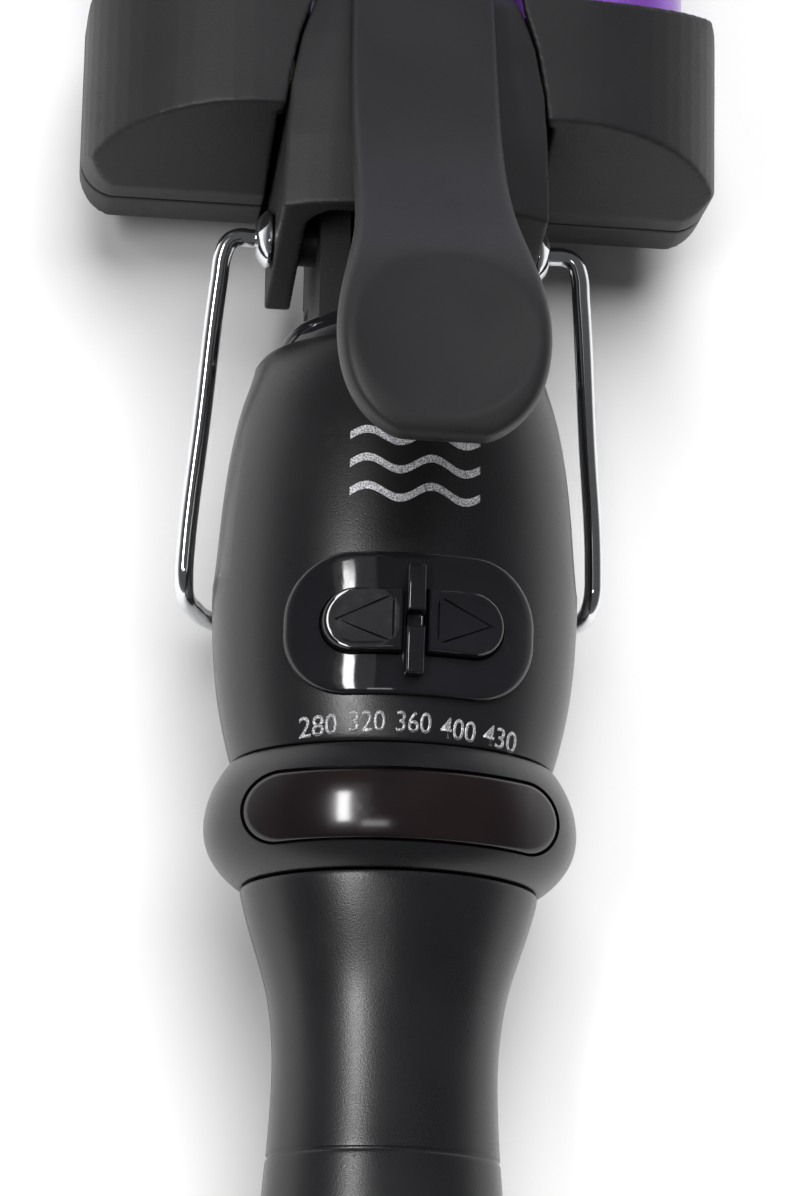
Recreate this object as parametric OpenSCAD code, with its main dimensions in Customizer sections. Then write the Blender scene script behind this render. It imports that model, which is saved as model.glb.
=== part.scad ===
// Three-barrel hair waver: an oval handle with a two-key control panel, a base that carries two
// heated barrels, a hinged clamp that brings the third barrel down between them, and a wire stand.
// +Y runs along the barrels, +X to the right, +Z up to the thumb lever.
// The origin is the centre of the cord inlet's mouth.

/* [Barrels] */
// Outer diameter of each heated barrel
barrel_d = 25.4; // [25:0.1:25.6]
// Gap between neighbouring barrels when the clamp is shut
barrel_gap = 1.1; // [1:0.1:1.4]
// Length of barrel in front of the base
barrel_reach = 127.5; // [100:0.5:140]
// Wall thickness of a barrel tube
barrel_wall = 1; // [0.8:0.1:1.1]

/* [Handle] */
// Length of the grip, from the cord inlet to the collar
grip_length = 118; // [112:1:124]
// Half width of the grip at its narrowest place
grip_half_w = 15.1; // [14.8:0.1:16]
// Half width of the body at its widest place
body_half_w = 25.1; // [24.6:0.1:25.6]
// Height of the handle's cross-section as a share of its width
handle_oval = 0.86; // [0.84:0.01:0.92]
// Wall thickness of the moulded shells
shell_wall = 2.2; // [2:0.1:2.4]

/* [Controls] */
// Width of the raised control panel
panel_w = 33.5; // [32:0.5:34]
// Length of the raised control panel
panel_l = 19; // [18.6:0.2:20.4]
// Height of the panel above the body
panel_rise = 1.2; // [1:0.1:1.4]
// Height of the keys above the body
key_rise = 3; // [2.8:0.1:3.2]
// How far a key travels when it is pressed
key_travel = 0.8; // [0.5:0.1:0.8]

/* [Base] */
// Width of the base
base_w = 90; // [88:0.5:92]
// Length of the base at its foot
base_l = 30; // [29:0.5:31]
// Height of the base's flat top above the barrels' axes
base_top = 14.5; // [14.2:0.1:15]
// Depth of the base's underside below the barrels' axes
base_drop = 17.5; // [17.4:0.1:18]

/* [Clamp] */
// Outer width of the hood across its two ears
hood_w = 36.6; // [36.2:0.1:37]
// Height of the lever's pad above the hinge axis
lever_h = 48.5; // [46:0.5:49]
// Width of the lever's thumb pad
pad_w = 27.5; // [26:0.5:29]

/* [Stand] */
// Diameter of the stand's wire
wire_d = 2.6; // [2.4:0.1:2.7]
// Length of the stand's arms, from the hinge to the cross bar
stand_reach = 50; // [46:0.5:51]

/* [Hidden] */

$fn = 96;
smooth_steps = 3;
far = 400;

// Running clearance on the radius between a pin and its bore
running = 0.08;
// Handle stations along Y
collar_l = 16.7;
body_l = 57.6;
body_y = grip_length + collar_l;
body_end = body_y + body_l;
cap_y = 9;

// Hinge
hinge_y = body_end + 17.7;
tube_r = 3.5;
wire_r = wire_d / 2;
hood_half = hood_w / 2;
ear_t = 3.6;
ear_inner = hood_half - ear_t;
hinge_cap_t = 2.5;
hinge_cap_r = 4.1;
neck_half = 12.3;
neck_front = hinge_y + 7;
neck_top = 8;
tail_drop = 8;

// Base
base_rear = hinge_y + 8.3;
base_front = base_rear + base_l;
rear_slope = 6.6;
front_slope = 5.2;
base_half = base_w / 2;
shoulder_z = -5;
seam_z = -9.5;
channel_gap = 0.7;
channel_half = hood_half + channel_gap;
cover_t = 2;
floor_z = -base_drop + cover_t;
bracket_t = 1.5;
neck_drop = -floor_z - bracket_t;

// Barrels
pitch = barrel_d + barrel_gap;
barrel_r = barrel_d / 2;
barrel_bore = barrel_r - barrel_wall;
barrel_rear = base_rear + 17;
holder_l = 4;
barrel_end = base_front + barrel_reach;
hood_front = base_front + 2;
heater_w = 15;
heater_t = 4;

// Outlines of the handle as [distance from the part's rear edge, half width]
grip_line = [
    [cap_y, 16.6], [16, 17.6], [38, 17.8], [60, 17.2], [78, grip_half_w + 0.9],
    [grip_length - 31, grip_half_w + 0.2], [grip_length - 23, grip_half_w],
    [grip_length - 14.5, grip_half_w + 0.9], [grip_length - 10, 17.3], [grip_length - 5, 19],
    [grip_length, 20.2],
];
collar_line = [
    [0, 20.3], [1.4, 22], [3.3, 23.8], [5.6, 25], [8.2, 25.4], [11.3, 25], [14, 23.9],
    [collar_l, 22],
];
body_line = [
    [0, 21.9], [5.8, 23.4], [12, body_half_w - 0.6], [20, body_half_w - 0.05],
    [27, body_half_w], [36, 24.6], [43, 23.8], [49, 22.7], [53.1, 21.5], [56, 20.2],
    [body_l, 18.8],
];

// Point at share t of the way from q to r on a smooth curve through p, q, r and s
function curve(p, q, r, s, t) =
    0.5 * (2 * q + (r - p) * t + (2 * p - 5 * q + 4 * r - s) * t * t
        + (3 * q - p - 3 * r + s) * t * t * t);

// Smooth line through the given points, with `steps` stretches between each two
function through(pts, steps) = [
    for (i = [0 : len(pts) - 2])
        for (k = [0 : steps - 1])
            curve(pts[max(i - 1, 0)], pts[i], pts[i + 1], pts[min(i + 2, len(pts) - 1)], k / steps),
    pts[len(pts) - 1],
];

function shifted(line, by) = [for (p = line) [p[0] + by, p[1]]];

// Turns a child drawn about Z so that its axis runs along +Y from y
module along_y(y = 0) {
    translate([0, y, 0]) rotate([-90, 0, 0]) children();
}

// Turns a child drawn about Z so that its axis runs along +X from x
module along_x(x = 0) {
    translate([x, 0, 0]) rotate([0, 90, 0]) children();
}

module box(low, high) {
    translate(low) cube(high - low);
}

module rounded_plate(size, r, h) {
    linear_extrude(height = h)
        hull()
            for (x = [-1, 1], y = [-1, 1])
                translate([x * (size[0] / 2 - r), y * (size[1] / 2 - r)]) circle(r, $fn = 32);
}

// Oval solid with the given outline, drawn in by `inset` and made longer by `past` at both ends
module turned(line, inset = 0, past = 0) {
    pts = through(line, smooth_steps);
    last = len(pts) - 1;
    start = pts[0][0] - past;
    end = pts[last][0] + past;
    edge = [for (p = pts) [p[1] - inset, p[0]]];
    ends = past > 0 ? [[pts[last][1] - inset, end]] : [];
    starts = past > 0 ? [[pts[0][1] - inset, start]] : [];
    scale([1, 1, handle_oval])
        along_y()
            rotate_extrude()
                polygon(concat([[0, start]], starts, edge, ends, [[0, end]]));
}

module upper_half() {
    intersection() {
        children();
        box([-far, -far, 0], [far, far, far]);
    }
}

module lower_half() {
    intersection() {
        children();
        box([-far, -far, -far], [far, far, 0]);
    }
}

// Ring of points around a rounded oblong: squareness 2 is an ellipse, more is squarer
function oblong(half_w, half_h, squareness, sides) = [
    for (i = [0 : sides - 1])
        let (a = 360 * i / sides, c = cos(a), s = sin(a))
            [half_w * sign(c) * pow(abs(c), 2 / squareness),
             half_h * sign(s) * pow(abs(s), 2 / squareness)],
];

// Closed skin over rings that all have the same number of points
module skin(rings) {
    n = len(rings[0]);
    last = len(rings) - 1;
    points = [for (ring = rings) for (p = ring) p];
    sides = [
        for (i = [0 : last - 1])
            for (j = [0 : n - 1])
                let (k = (j + 1) % n)
                    [[i * n + j, i * n + k, (i + 1) * n + k], [i * n + j, (i + 1) * n + k, (i + 1) * n + j]],
    ];
    faces = concat(
        [for (pair = sides) for (face = pair) face],
        [[for (j = [n - 1 : -1 : 0]) j]],
        [[for (j = [0 : n - 1]) last * n + j]]
    );
    polyhedron(points, faces, convexity = 6);
}

function unit(v) = v / norm(v);

// Round wire swept along a route, each ring square to the stretch it stands on.
// `aside` is a direction that the route never takes.
module swept_wire(route, r, aside, sides = 8) {
    last = len(route) - 1;
    function heading(i) = unit(route[min(i + 1, last)] - route[max(i - 1, 0)]);
    function across(i) = unit(cross(heading(i), aside));
    skin([
        for (i = [0 : last])
            let (u = across(i), v = cross(u, heading(i)))
                [for (k = [0 : sides - 1])
                    route[i] + r * (cos(360 * k / sides) * u + sin(360 * k / sides) * v)]
    ]);
}

// ---------------------------------------------------------------- grip

grip_screw_y = [34, 84];
body_screw_x = 16.5;
body_screw_y = body_y + 40;
screw_r = 1.4;
screw_head_r = 2.7;
screw_head_z = -8;
boss_r = 3;

module screw_post(x, y) {
    translate([x, y, 0]) cylinder(r = boss_r, h = far);
}

module grip_shell_top() {
    color("#141416")
        difference() {
            upper_half() turned(grip_line);
            difference() {
                turned(grip_line, shell_wall, 1);
                for (y = grip_screw_y)
                    screw_post(0, y);
            }
            for (y = grip_screw_y)
                translate([0, y, -1]) cylinder(r = screw_r, h = 10);
        }
}

module grip_shell_bottom() {
    color("#141416")
        difference() {
            lower_half() turned(grip_line);
            difference() {
                turned(grip_line, shell_wall, 1);
                for (y = grip_screw_y)
                    translate([0, y, -far]) cylinder(r = boss_r + 0.8, h = far);
            }
            for (y = grip_screw_y) {
                translate([0, y, -20]) cylinder(r = screw_r + 0.1, h = 21);
                translate([0, y, -far + screw_head_z]) cylinder(r = screw_head_r + 0.1, h = far);
            }
        }
}

module screw(x, y, head_z, length, head_h = 1.8) {
    translate([x, y, head_z]) cylinder(r = screw_r, h = length);
    translate([x, y, head_z - head_h]) cylinder(r = screw_head_r, h = head_h);
}

module case_screws() {
    color("silver") {
        for (y = grip_screw_y)
            screw(0, y, screw_head_z, 16);
        for (x = [-1, 1])
            screw(x * body_screw_x, body_screw_y, screw_head_z, 15);
    }
}

// ---------------------------------------------------------------- rear end and cord inlet

cord_r = 3.4;
swivel_r = 6.5;
swivel_flange_r = 9;
swivel_l = 21;

// Outline of the rear cap as [y, half width]
rear_line = [[2.5, 11], [3.2, 13.6], [4.8, 15.4], [7, 16.3], [cap_y, 16.6]];

module rear_cap() {
    color("#101012")
        difference() {
            skin([
                for (p = rear_line)
                    [for (q = oblong(p[1], p[1] * handle_oval, 2, 48)) [q[0], p[0], q[1]]]
            ]);
            along_y(-1) cylinder(r = swivel_r + running, h = far);
        }
}

module cord_swivel() {
    color("#1a1a1c")
        along_y()
            rotate_extrude()
                polygon([
                    [cord_r, 0], [5.6, 0], [swivel_r, 0.9], [swivel_r, cap_y + 0.2],
                    [swivel_flange_r, cap_y + 0.2], [swivel_flange_r, cap_y + 3],
                    [5, cap_y + 3], [5, swivel_l], [cord_r, swivel_l],
                ]);
}

module slip_contacts() {
    color("goldenrod")
        for (y = [cap_y + 5, cap_y + 9])
            along_y(y)
                difference() {
                    union() {
                        cylinder(r = 6.6, h = 1.2);
                        box([-1.5, -13, 0], [1.5, -6, 1.2]);
                        box([-1.5, 6, 0], [1.5, 13, 1.2]);
                    }
                    translate([0, 0, -1]) cylinder(r = 5.35, h = 4);
                }
}

// ---------------------------------------------------------------- collar and lens

lens_w = 42;
lens_l = 9.2;
lens_y = grip_length + 8;

module lens_plan(grow) {
    translate([0, lens_y, 4])
        rounded_plate([lens_w + 2 * grow, lens_l + 2 * grow], lens_l / 2 + grow - 0.01, 30);
}

module collar_ring() {
    color("#121214")
        difference() {
            turned(shifted(collar_line, grip_length));
            along_y(grip_length - 1) scale([1, handle_oval, 1]) cylinder(r = 19, h = collar_l + 2);
            lens_plan(0.1);
        }
}

module display_lens() {
    color("#2a0d10")
        difference() {
            intersection() {
                turned(shifted(collar_line, grip_length), 0.25);
                lens_plan(0);
            }
            along_y(grip_length - 1) scale([1, handle_oval, 1]) cylinder(r = 21.6, h = collar_l + 2);
        }
}

// ---------------------------------------------------------------- body

panel_y = body_y + 15.4;

module panel_plan(grow) {
    translate([0, panel_y, 10])
        rounded_plate([panel_w + 2 * grow, panel_l + 2 * grow], 8.5 + grow, 30);
}

module body_shell_top() {
    color("#141416")
        difference() {
            upper_half() turned(shifted(body_line, body_y));
            difference() {
                turned(shifted(body_line, body_y), shell_wall, 1);
                for (x = [-1, 1])
                    screw_post(x * body_screw_x, body_screw_y);
            }
            panel_plan(0.1);
            for (x = [-1, 1])
                translate([x * body_screw_x, body_screw_y, -1]) cylinder(r = screw_r, h = 9);
        }
}

module body_shell_bottom() {
    color("#141416")
        difference() {
            lower_half() turned(shifted(body_line, body_y));
            difference() {
                turned(shifted(body_line, body_y), shell_wall, 1);
                for (x = [-1, 1])
                    translate([x * body_screw_x, body_screw_y, -far]) cylinder(r = boss_r + 0.8, h = far);
            }
            for (x = [-1, 1]) {
                translate([x * body_screw_x, body_screw_y, -20]) cylinder(r = screw_r + 0.1, h = 21);
                translate([x * body_screw_x, body_screw_y, -far + screw_head_z])
                    cylinder(r = screw_head_r + 0.1, h = far);
            }
        }
}

// ---------------------------------------------------------------- controls

key_w = 10.4;
key_l = 8.4;
key_inner = 1.7;
key_gap = 0.3;
rib_w = 2.4;
rib_l = 14.6;
rib_notch = 2.2;
board_z = 7;
board_t = 1.6;
switch_h = 4.4;
plunger_h = 0.8;
stem_z = board_z + board_t + switch_h + plunger_h + key_travel + 0.25;

// D-shaped outline of a key: straight side towards the middle, round end outwards
module key_plan(side, grow) {
    nose_r = key_l / 2 + grow;
    nose_x = side * (key_inner + key_w - key_l / 2);
    translate([0, panel_y, 0])
        linear_extrude(height = far) {
            translate([nose_x, 0]) circle(nose_r);
            translate([side > 0 ? key_inner - grow : nose_x, -nose_r])
                square([abs(nose_x) - key_inner + grow, 2 * nose_r]);
        }
}

module control_panel() {
    color("#0c0c0e")
        difference() {
            union() {
                intersection() {
                    turned(shifted(body_line, body_y), -panel_rise);
                    panel_plan(0);
                }
                intersection() {
                    turned(shifted(body_line, body_y), -key_rise - 0.4);
                    difference() {
                        box([-rib_w / 2, panel_y - rib_l / 2, 15], [rib_w / 2, panel_y + rib_l / 2, 40]);
                        box([-rib_w, panel_y - rib_notch / 2, 23.4], [rib_w, panel_y + rib_notch / 2, 40]);
                    }
                }
            }
            turned(shifted(body_line, body_y), shell_wall);
            for (side = [-1, 1])
                key_plan(side, key_gap);
        }
}

module key(side) {
    color("#0f0f11") {
        difference() {
            intersection() {
                turned(shifted(body_line, body_y), -key_rise);
                key_plan(side, 0);
            }
            turned(shifted(body_line, body_y), shell_wall - 0.6);
        }
        translate([side * (key_inner + 4.6), panel_y, stem_z]) cylinder(r = 1.5, h = 20.6 - stem_z);
    }
}

module button_down() {
    key(-1);
}

module button_up() {
    key(1);
}

module circuit_board() {
    color("darkgreen")
        difference() {
            box([-13, body_y - 14, board_z], [13, body_end - 13, board_z + board_t]);
            for (y = [body_y - 11, body_end - 15])
                translate([0, y, board_z - 1]) cylinder(r = 1.2, h = 4);
        }
}

module tact_switches() {
    color("dimgray")
        for (side = [-1, 1])
            translate([side * (key_inner + 4.6), panel_y, board_z + board_t]) {
                translate([-3, -3, 0]) cube([6, 6, switch_h]);
                translate([0, 0, switch_h]) cylinder(r = 1.6, h = plunger_h);
            }
}

module indicator_leds() {
    color("red")
        for (i = [-2 : 2])
            translate([i * 5.4, lens_y, board_z + board_t]) {
                cylinder(r = 1.5, h = 2.2);
                cylinder(r = 1.9, h = 0.8);
            }
}

module triac() {
    color("#222222") {
        box([-5, body_y + 26, board_z + board_t], [5, body_y + 30.5, board_z + board_t + 5]);
    }
}

module filter_capacitor() {
    color("#b8860b")
        box([-6, body_y + 34, board_z + board_t], [6, body_y + 40, board_z + board_t + 5.5]);
}

// ---------------------------------------------------------------- neck and hinge

cap_line = [[-6, 16.2], [-0.6, 16.2], [2.2, 15.4], [4.4, 13.8], [6, 11.8]];
spring_half = 8.2;
spring_room = 6.7;

module front_cap() {
    color("#0d0d0f")
        difference() {
            skin([
                for (p = through(cap_line, 2))
                    [for (q = oblong(p[1], p[1] * handle_oval, 2, 48)) [q[0], body_end + p[0], q[1]]]
            ]);
            box([-neck_half, body_end - 20, -tail_drop], [neck_half, body_end + 20, neck_top]);
        }
}

module neck() {
    color("#19191b")
        difference() {
            union() {
                box([-neck_half, body_end - 12, -tail_drop], [neck_half, neck_front, neck_top]);
                box([-neck_half, hinge_y - 7, -neck_drop], [neck_half, base_rear + 3.5, 0]);
            }
            along_x(-far / 2) translate([0, hinge_y, 0]) cylinder(r = tube_r, h = far);
            box([-spring_half, hinge_y - spring_room, -spring_room], [spring_half, hinge_y + spring_room, far]);
            along_y(body_end - 13) translate([0, 2, 0]) cylinder(r = 4, h = 12);
            for (x = [-1, 1])
                translate([x * 10, hinge_y - 1, -far]) cylinder(r = 0.9, h = far - 6);
        }
}

module base_bracket() {
    color("silver")
        difference() {
            union() {
                box([-neck_half, hinge_y - 5, floor_z], [neck_half, base_rear + 4, -neck_drop]);
                box([-channel_half - 2, base_rear + 4, floor_z],
                    [channel_half + 2, base_front - 4, -neck_drop]);
            }
            for (x = [-1, 1])
                translate([x * 10, hinge_y - 1, -far]) cylinder(r = 1, h = 2 * far);
        }
}

module neck_screws() {
    color("gray")
        for (x = [-1, 1]) {
            translate([x * 10, hinge_y - 1, floor_z]) cylinder(r = 0.9, h = 9);
            translate([x * 10, hinge_y - 1, floor_z - 1.2]) cylinder(r = 1.9, h = 1.2);
        }
}

module hinge_tube() {
    color("silver")
        translate([0, hinge_y, 0])
            along_x(-hood_half - 1)
                difference() {
                    cylinder(r = tube_r, h = 2 * hood_half + 2);
                    translate([0, 0, -1]) cylinder(r = wire_r + running, h = far);
                }
}

module hinge_cap() {
    color("gainsboro")
        difference() {
            along_x(hood_half + 0.15)
                rotate_extrude()
                    polygon([
                        [0, 0], [hinge_cap_r, 0], [hinge_cap_r, 0.7], [3.8, 1.4], [3.1, 2],
                        [2.2, hinge_cap_t], [0, hinge_cap_t],
                    ]);
            along_x(hood_half - 1) cylinder(r = tube_r, h = 2);
            along_x(0) cylinder(r = wire_r + running, h = far);
        }
}

module hinge_cap_left() {
    translate([0, hinge_y, 0]) mirror([1, 0, 0]) hinge_cap();
}

module hinge_cap_right() {
    translate([0, hinge_y, 0]) hinge_cap();
}

// ---------------------------------------------------------------- wire stand

// Half of the stand's route, from the hinge tube to the middle of the cross bar
stand_half = [
    [hood_half + 3, 0, 0], [hood_half + 4.6, 0, 0], [hood_half + 5.9, -0.6, -0.1],
    [hood_half + 6.7, -2.2, -0.4], [hood_half + 7.2, -6, -1],
    [hood_half + 8.7, -stand_reach * 0.5, -3.6], [hood_half + 10.2, -stand_reach + 6, -6],
    [hood_half + 10.2, -stand_reach + 2.4, -7], [hood_half + 9.8, -stand_reach + 0.6, -9.4],
    [hood_half + 8.4, -stand_reach + 0.2, -14], [hood_half + 5.5, -stand_reach, -20],
    [hood_half + 1.5, -stand_reach, -23.4], [hood_half - 4, -stand_reach, -24.2],
    [4, -stand_reach, -24.2],
];

module stand_wire() {
    near = through(stand_half, 2);
    mirrored = [for (i = [len(near) - 1 : -1 : 0]) [-near[i][0], near[i][1], near[i][2]]];
    color("gainsboro")
        translate([0, hinge_y, 0]) {
            swept_wire(concat(near, mirrored), wire_r, [1, 1, -1]);
            for (x = [-hood_half - 3.4, 10])
                along_x(x) cylinder(r = wire_r, h = hood_half - 6.6);
        }
}

// ---------------------------------------------------------------- base

shoulder = 25;
edge_r = 5;
corner_r = 5.5;

// Front view of the base between two heights, drawn in by `inset`
module base_front_view(inset) {
    half = base_half - inset;
    top = base_top - inset;
    bottom = -base_drop + inset;
    steps = 8;
    right = concat(
        [for (k = [0 : steps]) let (a = 90 * k / steps)
            [half - edge_r + edge_r * sin(a), bottom + edge_r * (1 - cos(a))]],
        [for (k = [0 : steps]) let (a = 90 * k / steps)
            [half - shoulder + shoulder * cos(a), shoulder_z + (top - shoulder_z) * sin(a)]]
    );
    left = [for (i = [len(right) - 1 : -1 : 0]) [-right[i][0], right[i][1]]];
    polygon(concat(right, left));
}

// Side view of the base as [y, z], drawn in by `inset`
module base_side_view(inset) {
    steps = 5;
    rear = base_rear + inset;
    front = base_front - inset;
    top = base_top - inset;
    bottom = -base_drop + inset;
    r = edge_r - 1;
    crown = 1.2;
    polygon(concat(
        [for (k = [0 : steps]) let (a = 90 * k / steps)
            [rear + 0.4 + r * (1 - sin(a)), bottom + r * (1 - cos(a))]],
        [[rear, shoulder_z], [rear + rear_slope - 0.3, top - crown], [rear + rear_slope + crown, top],
         [front - front_slope - crown, top], [front - front_slope + 0.3, top - crown], [front, shoulder_z]],
        [for (k = [steps : -1 : 0]) let (a = 90 * k / steps)
            [front - 0.4 - r * (1 - sin(a)), bottom + r * (1 - cos(a))]]
    ));
}

module base_solid(inset) {
    intersection() {
        along_y(0) mirror([0, 1, 0]) linear_extrude(height = far) base_front_view(inset);
        rotate([90, 0, 90]) translate([0, 0, -far / 2]) linear_extrude(height = far) base_side_view(inset);
        translate([0, (base_rear + base_front) / 2, -50])
            linear_extrude(height = 100)
                offset(r = corner_r - inset, $fn = 48)
                    square([base_w - 2 * corner_r, base_l - 2 * corner_r], center = true);
    }
}

base_screw_x = 37.5;
base_screw_y = base_rear + 6.5;
base_screw_l = 14;
base_head_z = -base_drop + 4;
base_tip_z = base_head_z + base_screw_l;

// What is taken out of both base covers: the channel for the hood, the rooms at either side and
// the round openings for the outer barrels. Above the barrels the channel follows the hood's sides.
module base_hollows() {
    box([-channel_half, base_rear - 10, floor_z], [channel_half, base_front + 10, barrel_r]);
    translate([0, 0, barrel_r - 0.1])
        linear_extrude(height = far)
            for (side = [-1, 1])
                polygon(concat(
                    [[0, hinge_y - 8], [0, hood_front]],
                    [for (i = [len(hood_stations) - 1 : -1 : 0])
                        [side * (hood_stations[i][1] + channel_gap), hinge_y + hood_stations[i][0]]]
                ));
    difference() {
        base_solid(cover_t + 0.4);
        box([-channel_half - 2, 0, -50], [channel_half + 2, far, 50]);
        for (x = [-1, 1])
            translate([x * base_screw_x, base_screw_y, -50]) cylinder(r = 3.4, h = 100);
    }
    box([-channel_half - 2.1, base_rear + 3.9, floor_z],
        [channel_half + 2.1, base_front - 3.9, floor_z + bracket_t + 0.1]);
    for (x = [-1, 1])
        translate([x * pitch, 0, 0]) along_y(barrel_rear - holder_l) cylinder(r = barrel_r, h = 60);
}

module base_cover_right() {
    color("#2f2f31")
        difference() {
            intersection() {
                base_solid(0);
                box([0, 0, seam_z], [far, far, 40]);
            }
            base_hollows();
            translate([base_screw_x, base_screw_y, seam_z - 1])
                cylinder(r = screw_r, h = base_tip_z - seam_z + 2);
        }
}

module base_cover_left() {
    mirror([1, 0, 0]) base_cover_right();
}

module base_cover_bottom() {
    color("#2a2a2c")
        difference() {
            intersection() {
                base_solid(0);
                box([-far, 0, -40], [far, far, seam_z]);
            }
            base_hollows();
            for (x = [-1, 1])
                translate([x * base_screw_x, base_screw_y, -base_drop - 1]) {
                    cylinder(r = screw_r + 0.1, h = 20);
                    cylinder(r = screw_head_r + 0.1, h = base_head_z + base_drop + 1);
                }
        }
}

module base_screws() {
    color("silver")
        for (x = [-1, 1])
            screw(x * base_screw_x, base_screw_y, base_head_z, base_screw_l);
}

// ---------------------------------------------------------------- barrels

holder_bore = 4;

module barrel_holder() {
    color("tan")
        along_y()
            difference() {
                union() {
                    translate([0, 0, barrel_rear - holder_l]) cylinder(r = 11.5, h = holder_l);
                    translate([0, 0, barrel_rear]) cylinder(r = barrel_bore, h = 8);
                }
                translate([0, 0, barrel_rear - 5]) cylinder(r = holder_bore, h = 20);
            }
}

module barrel(rear) {
    color("#5b2a8c")
        along_y(rear)
            difference() {
                cylinder(r = barrel_r, h = barrel_end - rear);
                translate([0, 0, -1]) cylinder(r = barrel_bore, h = far);
            }
}

module heater(rear) {
    color("dimgray")
        box([-heater_w / 2, rear, -heater_t / 2], [heater_w / 2, barrel_end - 8, heater_t / 2]);
}

// Aluminium extrusion that holds the heater flat and carries its heat to the tube
module spreader(rear) {
    length = barrel_end - 8 - rear;
    color("lightgray")
        difference() {
            union() {
                along_y(rear)
                    difference() {
                        cylinder(r = barrel_bore, h = length);
                        translate([0, 0, -1]) cylinder(r = barrel_bore - 1.8, h = far);
                    }
                box([-barrel_bore + 1, rear, -heater_t / 2 - 1.8], [barrel_bore - 1, rear + length, heater_t / 2 + 1.8]);
            }
            box([-heater_w / 2, 0, -heater_t / 2], [heater_w / 2, far, heater_t / 2]);
        }
}

module tip_cap() {
    color("#101012")
        along_y(barrel_end)
            rotate_extrude()
                polygon([
                    [0, -5], [barrel_bore, -5], [barrel_bore, 0], [barrel_r, 0], [barrel_r, 1.4],
                    [12, 2.8], [10.4, 3.9], [7.4, 4.8], [3.8, 5.2], [0, 5.3],
                ]);
}

module at_barrel(side) {
    translate([side * pitch, 0, 0]) children();
}

module barrel_holder_left() {
    at_barrel(-1) barrel_holder();
}

module barrel_holder_right() {
    at_barrel(1) barrel_holder();
}

module barrel_left() {
    at_barrel(-1) barrel(barrel_rear);
}

module barrel_right() {
    at_barrel(1) barrel(barrel_rear);
}

module heater_left() {
    at_barrel(-1) heater(barrel_rear + 12);
}

module heater_right() {
    at_barrel(1) heater(barrel_rear + 12);
}

module spreader_left() {
    at_barrel(-1) spreader(barrel_rear + 12);
}

module spreader_right() {
    at_barrel(1) spreader(barrel_rear + 12);
}

module tip_cap_left() {
    at_barrel(-1) tip_cap();
}

module tip_cap_right() {
    at_barrel(1) tip_cap();
}

module temperature_sensor() {
    color("orange")
        at_barrel(-1) along_y(barrel_rear + 2) cylinder(r = 1.8, h = 10);
}

module thermal_fuse() {
    color("white")
        at_barrel(1) along_y(barrel_rear - 1) cylinder(r = 2, h = 13);
}

// ---------------------------------------------------------------- clamp

// Hood stations as [y from the hinge, half width, top, bottom, squareness]
hood_stations = [
    [-8, hood_half, 17, -10, 5.4], [2, hood_half, 17.3, -10.4, 5.4], [10, hood_half - 0.2, 17.5, -11, 5],
    [18, hood_half - 0.8, 17.4, -12, 4.4], [25, hood_half - 2.1, 17, -12.6, 3.6],
    [31, hood_half - 4, 16.2, -12.8, 3], [35.5, 13.4, 15, -12.9, 2.4],
    [hood_front - hinge_y, 12.9, 13.3, -12.9, 2],
];

function hood_ring(station, wall, sides) =
    let (mid = (station[2] + station[3]) / 2, half = (station[2] - station[3]) / 2)
        [for (p = oblong(station[1] - wall, half - wall, station[4], sides))
            [p[0], hinge_y + station[0], mid + p[1]]];

module hood_solid(wall, stations) {
    skin([for (s = through(stations, 2)) hood_ring(s, wall, 40)]);
}

// Height of the hood's inner ceiling over the neck
hood_room = 10.5;
// Room between the hood and the outer barrels, and where it starts
relief = 0.6;
relief_y = barrel_rear - holder_l - 4.5;

module clamp_hood() {
    color("#2f2f31")
        difference() {
            hood_solid(0, hood_stations);
            box([-ear_inner, hinge_y - 20, -far], [ear_inner, hinge_y + 9, 10]);
            hull() {
                box([-ear_inner, hinge_y - 20, 5], [ear_inner, hinge_y + 9, 9]);
                box([-ear_inner + 5, hinge_y - 20, 5], [ear_inner - 5, hinge_y + 9, 14.6]);
            }
            box([-neck_half - 0.3, hinge_y + 8, -far], [neck_half + 0.3, base_rear + 4.5, hood_room]);
            box([-11, hinge_y + 8, -far], [11, hinge_y + 29, hood_room]);
            for (side = [-1, 1])
                translate([side * pitch, 0, 0]) {
                    along_y(relief_y) cylinder(r = barrel_r + relief, h = far);
                    box([-barrel_r - relief, relief_y, -far], [barrel_r + relief, far, 0]);
                }
            rotate([90, 0, 90])
                translate([0, 0, -50])
                    linear_extrude(height = 100)
                        polygon([
                            [hinge_y - 30, -30], [hinge_y - 8.5, -30], [hinge_y - 7, -10],
                            [hinge_y, 17], [hinge_y + 1, 30], [hinge_y - 30, 30],
                        ]);
            translate([0, hinge_y, 0])
                along_x(-30) cylinder(r = tube_r + running, h = 60);
            along_y(hood_front - 8) cylinder(r = 11.5, h = 20);
            for (y = lever_screw_y)
                translate([0, y, 0]) cylinder(r = screw_r + 0.1, h = 30);
        }
}

lever_screw_y = [hinge_y + 18.5, hinge_y + 25.5];

// Lever stations as [y from the hinge, height of the middle, half width, half thickness]
lever_stations = [
    [-42.8, lever_h - 0.6, 3.6, 1.4], [-40.7, lever_h - 0.4, 8.4, 2.4],
    [-36.3, lever_h - 0.2, pad_w / 2 - 1.6, 2.9], [-29.6, lever_h - 0.6, pad_w / 2, 3],
    [-22.8, lever_h - 2, pad_w / 2 - 0.6, 3], [-15.4, 42.6, 11.6, 2.8], [-8.8, 36.4, 10.4, 2.7],
    [0, 28.4, 10.2, 2.7], [10, 22.6, 10.2, 2.7], [20, 19.6, 10.2, 2.6], [30, 17.8, 10, 2.2],
    [36, 15.6, 9.4, 1.2],
];

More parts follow.
